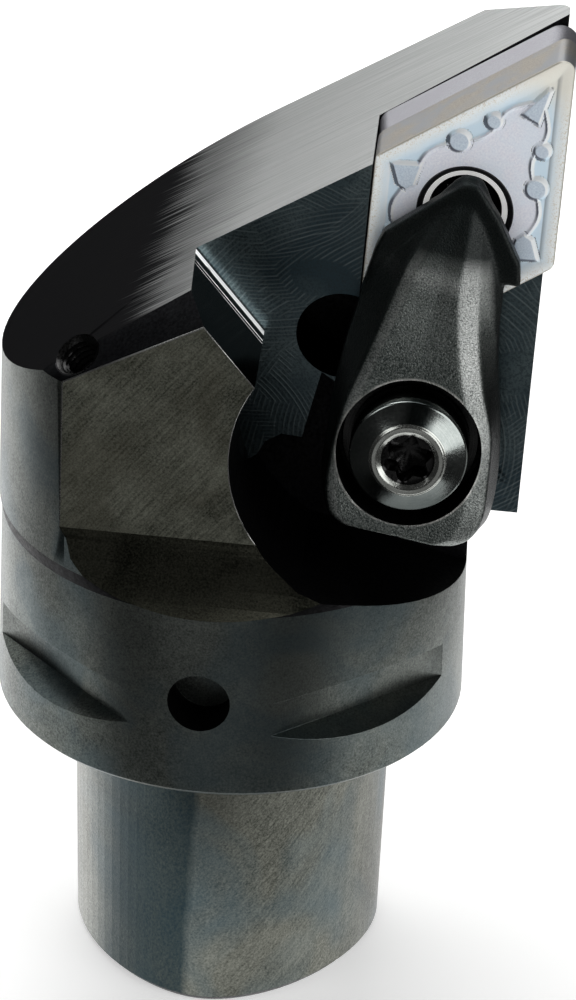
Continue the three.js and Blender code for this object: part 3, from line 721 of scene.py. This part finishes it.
# ---------- insert ----------
def rhombus_ring(inset, nose, level, per_corner=14, per_side=150):
    """Outline of the plate with rounded corners, the same number of points for every inset."""
    corners = []
    for k in range(4):
        heading = k * math.pi / 2
        half = HALF_CORNER if k % 2 == 0 else math.pi / 2 - HALF_CORNER
        reach, sweep = (INRADIUS - inset - nose) / math.sin(half), math.pi / 2 - half
        angles = heading + sweep * np.linspace(-1, 1, per_corner)
        corners.append(np.column_stack([reach * math.cos(heading) + nose * np.cos(angles),
                                        reach * math.sin(heading) + nose * np.sin(angles)]))
    along = np.linspace(0, 1, per_side + 2)[1:-1, None]
    points = []
    for corner, after in zip(corners, corners[1:] + corners[:1]):
        points += [corner, corner[-1] + (after[0] - corner[-1]) * along]
    ring = np.concatenate(points)
    return np.column_stack([ring, np.full(len(ring), level)])


PLATEAU_INSET, WAVE, WAVE_LENGTH = 1.72, 0.42, 5.3  # edge of the raised centre
STUD_HEIGHT, PLATEAU_DEPTH = 0.28, 0.14           # the studs reach level 0, the plateau lies below it
STUDS = ((6.53, 1.92, 0.50), (4.05, 3.08, 0.68))  # round studs in one quarter: x, y, radius
SHIELD_Y = 4.71                                   # middle of the shield-shaped pads
SHIELD_ALONG, SHIELD_ACROSS = 0.865, 0.50         # their direction


def face_height(xy):
    """The rake face at points x, y: its height, and how much plateau and how much stud is there.

    A chip groove runs inside the edge, round a raised centre with a wavy outline and a row of studs.
    """
    x, y = np.abs(xy[:, 0]), np.abs(xy[:, 1])
    inset = INRADIUS - (x * math.sin(HALF_CORNER) + y * math.cos(HALF_CORNER))

    def step(d, width):
        """Smooth step from 1 inside an outline to 0 outside it, d beyond the outline."""
        t = np.clip(0.5 - d / width, 0, 1)
        return t * t * (3 - 2 * t)

    groove = -0.04 - 0.22 * np.clip((inset - 0.2) / 0.9, 0, 1) ** 1.4
    edge_line = PLATEAU_INSET + WAVE * np.cos((x - WAVE_LENGTH) * 2 * math.pi / WAVE_LENGTH)
    plateau = step(edge_line - inset, 0.26)
    lip = np.exp(-((inset - edge_line - 0.10) / 0.13) ** 2)
    height = groove * (1 - plateau) + (-PLATEAU_DEPTH + 0.10 * lip) * plateau
    stud = np.zeros_like(x)
    for cx, cy, r in STUDS:
        stud = np.maximum(stud, step(np.hypot(x - cx, y - cy) - r - 0.1, 0.36))
    # shield-shaped pads by the blunt corners, wedges near the tips
    turn = np.sign(xy[:, 1])
    u = xy[:, 0] * turn * SHIELD_ALONG + (y - SHIELD_Y) * SHIELD_ACROSS
    v = np.abs(-xy[:, 0] * turn * SHIELD_ACROSS + (y - SHIELD_Y) * SHIELD_ALONG)
    shield = np.maximum.reduce([v - 0.86 + 0.30 * (0.5 - u), u - 0.78, -0.98 - u + 0.65 * v])
    stud = np.maximum(stud, step(shield - 0.10, 0.34))
    wedge = np.maximum.reduce([y - 0.62 + 0.24 * (x - 8.1), x - 10.4, 8.05 - x])
    stud = np.maximum(stud, step(wedge - 0.10, 0.34))
    moat = np.clip(1 - np.abs(stud - 0.06) / 0.06, 0, 1)
    return np.maximum(height, -STUD_HEIGHT + STUD_HEIGHT * stud) - 0.05 * moat, plateau, stud


INSERT_MATERIALS = {"flank": coat_flank, "groove": coat_groove, "plateau": coat_plateau, "bump": coat_bump,
                    "ring": hole_ring, "dark": hole_shade}
FLANK_LEVELS = (-THICK + 0.2, -THICK + 0.3, -THICK * 0.5, -0.3)
RIM_LEVELS = (-0.10, -0.05)             # of the two outermost rings of the face
FACE_INSETS = [0.0, 0.03, 0.08, 0.16, 0.26, *np.linspace(0.36, 3.05, 52)]
HOLE_MOUTH = 3.28
# bands tagged dark take the painted shade of the hole
HOLE_PROFILE = ((3.2, -0.06, "dark"), (3.12, -0.12, "dark"), (2.86, -0.42, "dark"), (2.80, -0.46, "ring"),
                (2.48, -0.62, "ring"), (2.42, -0.72, "dark"), (2.42, -THICK + 0.7, "dark"),
                (3.1, -THICK + 0.1, "dark"))  # radius and level down the hole
# Inset, corner radius and rise of the rings of the underside.
UNDERSIDE = ((1.6, 0.5, 0.05), (0.9, 0.6, 0.18), (0.25, 0.7, 0.06), (0.03, NOSE, 0.08))


def make_insert():
    """Skin of the insert: up the flank, in over the face, down the hole and out along the underside."""
    bands = [("flank", rhombus_ring(0, NOSE, level)) for level in FLANK_LEVELS]
    for i, inset in enumerate(FACE_INSETS):
        ring = rhombus_ring(inset, max(0.35, NOSE - inset * 0.45), 0.0)
        ring[:, 2] = RIM_LEVELS[i] if i < len(RIM_LEVELS) else face_height(ring[:, :2])[0]
        bands.append(("face", ring))
    last = bands[-1][1]
    angles = np.arctan2(last[:, 1], last[:, 0])
    mouth = np.column_stack([HOLE_MOUTH * np.cos(angles), HOLE_MOUTH * np.sin(angles)])
    for t in np.linspace(0.12, 1, 8):
        ring = last.copy()
        ring[:, :2] = last[:, :2] * (1 - t) + mouth * t
        ring[:, 2] = face_height(ring[:, :2])[0]
        bands.append(("face", ring))
    for r, level, tag in HOLE_PROFILE:
        round_ring = np.column_stack([r * np.cos(angles), r * np.sin(angles), np.full(len(angles), level)])
        bands.append((tag, round_ring))
    bands += [("face", rhombus_ring(inset, nose, -THICK + rise)) for inset, nose, rise in UNDERSIDE]
    bands.append(("flank", bands[0][1].copy()))
    mesh = ring_mesh("insert_skin", [ring for _, ring in bands], INSERT_MATERIALS.values(),
                     closed=False, sharp=28)
    names = list(INSERT_MATERIALS)
    for face in mesh.polygons:
        tag = bands[face.index // len(last) + 1][0]
        if tag == "face":
            _, plateau, stud = face_height(np.array(face.center[:2])[None] / MM)
            tag = "bump" if stud[0] > 0.9 else "plateau" if plateau[0] > 0.5 else "groove"
        face.material_index = names.index(tag)
    bm = bmesh.new()
    bm.from_mesh(mesh)
    bmesh.ops.remove_doubles(bm, verts=bm.verts, dist=0.0005 * MM)
    bmesh.ops.recalc_face_normals(bm, faces=bm.faces)
    smooth_by_angle(bm, 28)
    bm.to_mesh(mesh)
    bm.free()
    make_object("insert_skin", mesh, "holder", SEAT, ("insert",))


make_insert()

refined("shim", "shim_skin", "holder", [shim_coat], None, 0)
refined("shim_screw", "shim_screw_skin", "holder", [screw_steel], None, 0.05)

# ---------- clamp ----------
# Each station along the clamp: [position, left base, right base, left top, right top, level of the top].
STATIONS = np.array([
    (-5.8, 3.7, -5.0, 3.3, -4.2, 6.60), (-5.1, 4.9, -6.2, 4.4, -5.3, 6.50),
    (-3.5, 5.4, -6.5, 5.0, -5.9, 6.20), (-1, 5.6, -6.3, 5.2, -5.7, 5.70),
    (2, 5.8, -5.7, 5.1, -5.2, 5.15), (5, 5.8, -4.9, 4.5, -3.9, 4.55),
    (8, 5.6, -4.2, 3.9, -2.9, 4.00), (11, 5.2, -3.8, 3.3, -2.2, 3.40),
    (12.7, 4.2, -3.5, 2.9, -1.9, 3.05), (15.5, 2.7, -2.5, 1.6, -1.3, 2.10),
    (17.8, 1.3, -1.2, 0.85, -0.75, 1.30), (18.6, 0.6, -0.5, 0.45, -0.4, 1.00)])
BASE = 0.3                              # underside of the bridge and the wings, above the rake face
WINGS = [(11.6, 0), (11.9, -4.8), (13.5, -4.4), (16.3, -2.4), (18.3, -0.5), (18.3, 0.5), (15.9, 2.8),
         (13.6, 5.0), (12.4, 5.3), (9, 5.6)]
WINGS_TOP = 1.65
HEEL = [(-5.7, -5.0), (-4.9, -6.1), (-1, -6.2), (5, -4.8), (10.3, -3.7), (1.7, 4.4), (0.4, 5.5),
        (-3.4, 5.3), (-4.8, 4.8), (-5.5, 3.7)]
HEEL_BOTTOM, HEEL_TOP = -1.3, 0.8
PEG_AT, PEG_RADIUS, PEG_ENDS = 14.9, 1.4, (-1.2, 1.2)  # the beak in the insert's hole
COUNTERBORE, SINK_LEVEL = 4.95, 2.6
BORE = [(2.8, -4), (2.8, 2.35), (4.9, 2.36), (4.9, 12)]  # radius and level of the screw's stepped bore


def interpolated(table, count):
    """Smooth curve through the rows of a table, by Catmull-Rom pieces."""
    rows = np.vstack([table[0], table, table[-1]])
    out = []
    for t in np.linspace(0, len(table) - 1 - 1e-9, count):
        i = int(t)
        u = t - i
        p0, p1, p2, p3 = rows[i:i + 4]
        out.append(0.5 * (2 * p1 + (p2 - p0) * u + (2 * p0 - 5 * p1 + 4 * p2 - p3) * u * u
                          + (3 * p1 - p0 - 3 * p2 + p3) * u ** 3))
    return np.array(out)


def polyline_ring(corners, per_edge=10):
    corners = np.array(corners, float)
    points = []
    for a, b in zip(corners, np.roll(corners, -1, axis=0)):
        for t in np.arange(per_edge) / per_edge:
            points.append(a + (b - a) * t)
    return np.array(points)


def prism_mesh(name, outline, low, high):
    n = len(outline)
    verts = [(x * MM, y * MM, level * MM) for level in (low, high) for x, y in outline]
    faces = [tuple(range(n - 1, -1, -1)), tuple(range(n, 2 * n))]
    faces += [(i, (i + 1) % n, n + (i + 1) % n, n + i) for i in range(n)]
    mesh = bpy.data.meshes.new(name)
    mesh.from_pydata(verts, [], faces)
    return mesh


def apply_modifiers(piece):
    depsgraph = bpy.context.evaluated_depsgraph_get()
    depsgraph.update()
    mesh = bpy.data.meshes.new_from_object(piece.evaluated_get(depsgraph))
    piece.modifiers.clear()
    piece.data = mesh


def linked(name, mesh):
    piece = bpy.data.objects.new(name, mesh)
    scene.collection.objects.link(piece)
    return piece


def bridge_rings():
    """Sections of the forged bridge from the heel to the tip: upright foot, sloping sides, two ridges."""
    rings = []
    for x, left, right, left_top, right_top, top in interpolated(STATIONS, 90):
        waist = BASE + 0.36 * (top - BASE)
        size = min(1.0, (left_top - right_top) / 5.5)
        roof_left, roof_right = left_top - 0.8 * size, right_top + 1.4 * size
        rings.append(polyline_ring([
            (x, left, BASE), (x, right, BASE), (x, right, waist), (x, right_top, top - 0.62 * size),
            (x, roof_right, top), (x, (left_top + right_top) / 2, top - 0.1 * size), (x, roof_left, top),
            (x, left_top, top - 0.25 * size), (x, left, waist)], 8))
    return rings


def make_clamp():
    """The forging: bridge, wings, heel and peg run into one soft skin, then bored for the screw."""
    solids = [ring_mesh("bridge", bridge_rings(), []),
              prism_mesh("wings", WINGS, BASE, WINGS_TOP),
              prism_mesh("heel", HEEL, HEEL_BOTTOM, HEEL_TOP),
              ring_mesh("peg", [circle(PEG_RADIUS, z, 32) + (PEG_AT, 0, 0) for z in PEG_ENDS], [])]
    bm = bmesh.new()
    for mesh in solids:
        bm.from_mesh(mesh)
    bmesh.ops.recalc_face_normals(bm, faces=bm.faces)
    mesh = bpy.data.meshes.new("clamp_skin")
    bm.to_mesh(mesh)
    bm.free()
    piece = linked("clamp_skin", mesh)
    remesh = piece.modifiers.new("voxels", "REMESH")
    remesh.mode, remesh.voxel_size = "VOXEL", 0.13 * MM
    smooth = piece.modifiers.new("smooth", "SMOOTH")
    smooth.factor, smooth.iterations = 0.5, 14
    apply_modifiers(piece)
    cutter = linked("bore_cutter", ring_mesh("bore_cutter", [circle(r, z, 128) for r, z in BORE], []))
    bore = piece.modifiers.new("bore", "BOOLEAN")
    bore.operation, bore.solver, bore.object = "DIFFERENCE", "EXACT", cutter
    apply_modifiers(piece)
    bpy.data.objects.remove(cutter)
    mesh = piece.data
    mesh.materials.clear()
    for material in (forged_mat, shaded_recess_steel):
        mesh.materials.append(material)
    bm = bmesh.new()
    bm.from_mesh(mesh)
    bm.normal_update()
    smooth_by_angle(bm, 40)
    for face in bm.faces:
        c = face.calc_center_median() / MM
        inside = math.hypot(c.x, c.y) < COUNTERBORE and (abs(face.normal.z) < 0.3 or c.z < SINK_LEVEL)
        face.material_index = 1 if inside else 0
    bm.to_mesh(mesh)
    bm.free()
    mesh.transform(CLAMP)
    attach(piece, "clamp_unit")
    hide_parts("clamp")


make_clamp()

WASHER = [(2.75, 2.6), (2.75, 2.85), (2.8, 2.9), (4.55, 2.9), (4.6, 2.85), (4.6, 2.6), (4.55, 2.55),
          (2.8, 2.55), (2.75, 2.6)]     # radius and level round its section
washer = ring_mesh("washer_skin", [circle(r, z, 96) for r, z in WASHER], [deep_shade_steel], closed=False)
make_object("washer_skin", washer, "clamp_unit", CLAMP, ("clamp_washer",))

# ---------- clamp screw ----------
# Radius and level of each ring, from the point to the crown; the thread lies between TIP and NECK.
TIP = [(1.9, -15), (2.05, -14.8)]
NECK = [(2.05, -2.6), (2.05, -1.6), (2.4, -1.55), (2.4, 3.1)]
HEAD_PROFILE = [(2.4, 3.1), (3.85, 3.1), (4.0, 3.25), (4.0, 5.98), (3.94, 6.09), (3.82, 6.15), (2.62, 6.72),
                (2.52, 6.80), (2.46, 6.87), (2.38, 6.90), (2.16, 6.90), (2.08, 6.87), (1.82, 6.66)]
SOCKET = [(1.04, 6.60), (1.0, 6.54), (1.0, 4.75), (0.55, 4.45), (0.1, 4.40)]  # size and level of the lobes
RIM_BANDS = (6, 12)                     # bands of the head, counted from its first ring, that are polished


def doubled(ring):
    """The ring with a point added in the middle of each side."""
    ring = np.repeat(ring, 2, axis=0)
    ring[1::2] = (ring[0::2] + np.roll(ring[0::2], -1, axis=0)) / 2
    return ring


shaft = [circle(r, z, 72) for r, z in TIP] + thread_rings(2.4, 0.42, 0.8, -14.6, -2.7)
shaft = [doubled(ring) for ring in shaft + [circle(r, z, 72) for r, z in NECK]]
screw_rings = shaft + [circle(r, z) for r, z in HEAD_PROFILE] + [lobes(size, z) for size, z in SOCKET]
mesh = ring_mesh("screw_skin", screw_rings, [screw_steel, rim_steel, deep_shade_steel],
                 lambda i: sum(i >= len(shaft) + band for band in RIM_BANDS))
make_object("screw_skin", mesh, "screw_unit", CLAMP, ("clamp_screw",))
refined("retaining_ring", "ring_skin", "screw_unit", [spring_steel], None, 0)

# ---------- spring under the clamp ----------
SPRING_RADIUS, WIRE, SPRING_LOW, SPRING_HIGH, TURNS = 3.8, 0.35, -5.35, -1.75, 3.5


def coil(name, radius, wire, low, high, turns, steps=200, sides=14):
    rings = []
    b = np.arange(sides) * 2 * math.pi / sides
    for i in range(steps + 1):
        t = i / steps
        a = 2 * math.pi * turns * t
        centre = np.array((radius * math.cos(a), radius * math.sin(a), low + (high - low) * t))
        out = np.array((math.cos(a), math.sin(a), 0))
        rings.append(centre + wire * (np.outer(np.cos(b), out) + np.outer(np.sin(b), (0, 0, 1))))
    return ring_mesh(name, rings, [spring_steel], sharp=50)


spring = linked("spring_skin", coil("spring_skin", SPRING_RADIUS, WIRE, SPRING_LOW, SPRING_HIGH, TURNS))
spring.data.transform(CLAMP)
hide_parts("clamp_spring")
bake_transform(spring)

# ---------- threaded outlet and its plug ----------
OUTLET_MOUTH = [(1.46, -0.12), (1.60, -0.02)]
sleeve = thread_rings(1.42, 0.26, 0.5, -4.9, -0.25, 72, 0.05) + [circle(r, z, 72) for r, z in OUTLET_MOUTH]
mesh = ring_mesh("outlet_thread", sleeve, [deep_shade_steel], closed=False)
mesh.flip_normals()
make_object("outlet_thread", mesh, "holder", PLUG)
refined("coolant_plug", "plug_skin", "holder", [spring_steel], None, 0.05)

# ---------- floor ----------
FLOOR_HALF = 4000
paper = Graph("floor_paper", 0.0)
paper.glow((1, 1, 1, 1), 0.5)
paper.finish(paper.mix((0.88, 0.88, 0.87), (0.92, 0.92, 0.91), paper.grain(0.8, 4)), 0.85)
mesh = bpy.data.meshes.new("floor")
bm = bmesh.new()
bmesh.ops.create_grid(bm, x_segments=1, y_segments=1, size=FLOOR_HALF * MM)
bm.to_mesh(mesh)
bm.free()
floor = linked("floor", mesh)
floor.location.z = CAD_BOX[0][2]
floor.data.materials.append(paper.mat)
floor.visible_shadow = floor.visible_glossy = False  # the low lights shine through it onto the tool

# ---------- lights ----------
AIM = Vector((3.6, 0, 20))


def softbox(name, azimuth, elevation, distance, size, radiance, aim=AIM, glossy=True, diffuse=True):
    """Rectangular light in millimetres, seen from its aim at an azimuth from -Y toward +X."""
    az, el = math.radians(azimuth), math.radians(elevation)
    away = Vector((math.sin(az) * math.cos(el), -math.cos(az) * math.cos(el), math.sin(el)))
    data = bpy.data.lights.new(name, "AREA")
    data.shape = "RECTANGLE"
    data.size, data.size_y = size[0] * MM, size[1] * MM
    data.energy = math.pi * data.size * data.size_y * radiance
    lamp = linked(name, data)
    lamp.location = (aim + away * distance) * MM
    lamp.rotation_euler = away.to_track_quat("Z", "Y").to_euler()
    lamp.visible_camera = False
    lamp.visible_glossy, lamp.visible_diffuse = glossy, diffuse


softbox("top_back", -160, 64, 620, (520, 450), 3.2)
softbox("card_back_left", -148, 17, 150, (170, 72), 1.95, Vector((14, 8, 48)))
softbox("right_front", 56, 20, 620, (380, 560), 1.8)
softbox("left_front", -50, 42, 620, (180, 280), 1.8)
softbox("front", 8, 6, 480, (200, 110), 0.35)
softbox("front_fill", 12, 34, 500, (300, 300), 0.75, glossy=False)
softbox("front_low", -4, -22, 330, (280, 260), 0.17)
softbox("left_low", -128, -28, 300, (200, 160), 0.8)
softbox("right_low", 105, -28, 300, (260, 160), 0.3)

# the bright part of the floor, as the polished steel mirrors it
softbox("floor_glow", 0, -90, 19.8, (120, 184), 1.05, Vector((-6, 62, 0)), diffuse=False)

# dim all round, but pale where the camera sees past the floor
world = bpy.data.worlds.new("studio")
world.use_nodes = True
scene.world = world
tree = world.node_tree
dim = tree.nodes["Background"]
pale = tree.nodes.new("ShaderNodeBackground")
for background, grey, strength in ((dim, 0.5, 0.05), (pale, 0.93, 1.0)):
    background.inputs["Color"].default_value = (grey, grey, grey, 1)
    background.inputs["Strength"].default_value = strength
path = tree.nodes.new("ShaderNodeLightPath")
either = tree.nodes.new("ShaderNodeMixShader")
tree.links.new(path.outputs["Is Camera Ray"], either.inputs[0])
tree.links.new(dim.outputs[0], either.inputs[1])
tree.links.new(pale.outputs[0], either.inputs[2])
tree.links.new(either.outputs[0], tree.nodes["World Output"].inputs[0])

# ---------- camera ----------
AZIMUTH, ELEVATION, ROLL = math.radians(7.29), math.radians(29.45), math.radians(1.864)
CAMERA_PLACE, LENS = Vector((83.81, -626.87, 371.36)), 381.44

level_right = Vector((math.cos(AZIMUTH), math.sin(AZIMUTH), 0))
towards = Vector((math.sin(AZIMUTH) * math.cos(ELEVATION), -math.cos(AZIMUTH) * math.cos(ELEVATION),
                  math.sin(ELEVATION)))
up = towards.cross(level_right)
camera_right = level_right * math.cos(ROLL) + up * math.sin(ROLL)
camera_up = up * math.cos(ROLL) - level_right * math.sin(ROLL)
turn = Matrix((camera_right, camera_up, towards)).transposed().to_4x4()
camera_data = bpy.data.cameras.new("camera")
camera_data.lens = LENS
camera_data.clip_start, camera_data.clip_end = 0.01, 10
camera = linked("camera", camera_data)
camera.matrix_world = Matrix.Translation(CAMERA_PLACE * MM) @ turn
scene.camera = camera
scene.view_settings.view_transform = "Standard"
